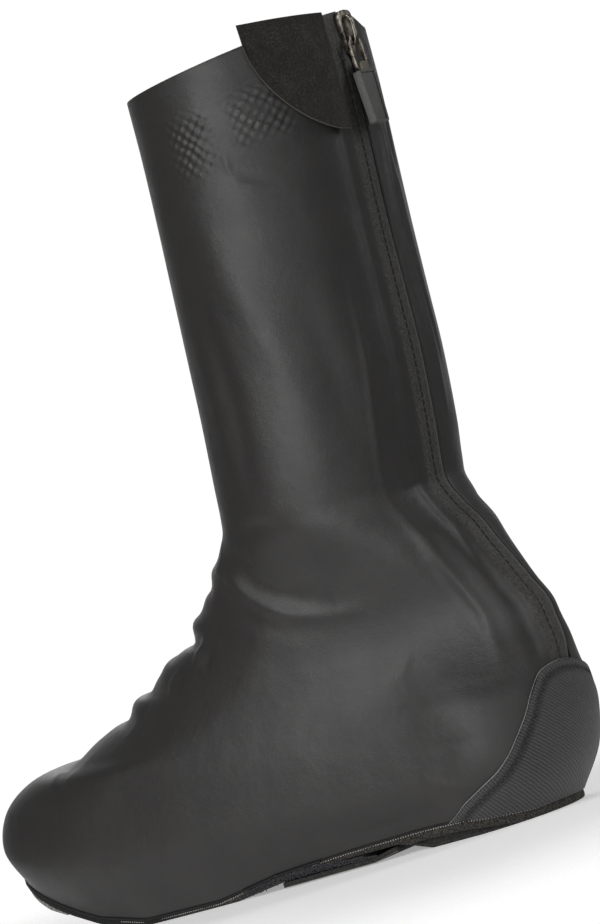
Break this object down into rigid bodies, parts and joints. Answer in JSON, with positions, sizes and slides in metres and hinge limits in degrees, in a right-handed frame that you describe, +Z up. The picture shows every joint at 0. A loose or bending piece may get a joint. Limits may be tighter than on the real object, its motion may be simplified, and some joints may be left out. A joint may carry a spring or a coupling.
{
  "type": "cycling overshoe",
  "caption": "Tall hollow overshoe for cycling: closed foot and shaft, zip up the back, reinforced heel, thin sole with cleat and tread openings and a hook flap.",
  "frame": {"origin": "on the floor, in the middle of the heel's flat rest", "axes": "+Z up the shaft, -X towards the toe, -Y towards the outer side of the foot"},
  "size_m": [0.2922, 0.1024, 0.3165],
  "materials": {
    "coated_stretch": "satin coated stretch fabric, charcoal",
    "heel_weave": "fine diagonal rib weave, blue-black",
    "edge_webbing": "dull speckled brown-black knit",
    "toe_mesh": "coarse grey woven mesh",
    "loop_pile": "fuzzy loop pile",
    "brushed_flap": "brushed brown-black loop fabric",
    "zip_tape": "matt grained tape",
    "zip_teeth": "black nylon coil",
    "gunmetal": "worn gunmetal plating",
    "moulded_grip": "charcoal moulded rubber"
  },
  "bodies": {
    "shoe": {"upper": "coated_stretch", "sole": "edge_webbing", "toe_guard": "toe_mesh", "heel_patch": "heel_weave", "loop_patch": "loop_pile", "arch_strap": "edge_webbing", "zip_tape_outer": "zip_tape", "zip_tape_inner": "zip_tape", "zip_coil": "zip_teeth", "collar_flap": "brushed_flap", "zip_slider": "gunmetal"},
    "pull": {"pull_link": "gunmetal", "pull_tab": "moulded_grip"}
  },
  "joints": [
    {"name": "pull_hinge", "type": "hinge", "parent": "shoe", "child": "pull", "pos_m": [0.01651, 0, 0.30159], "axis": [0, -1, 0], "range_deg": [0, 155]}
  ]
}
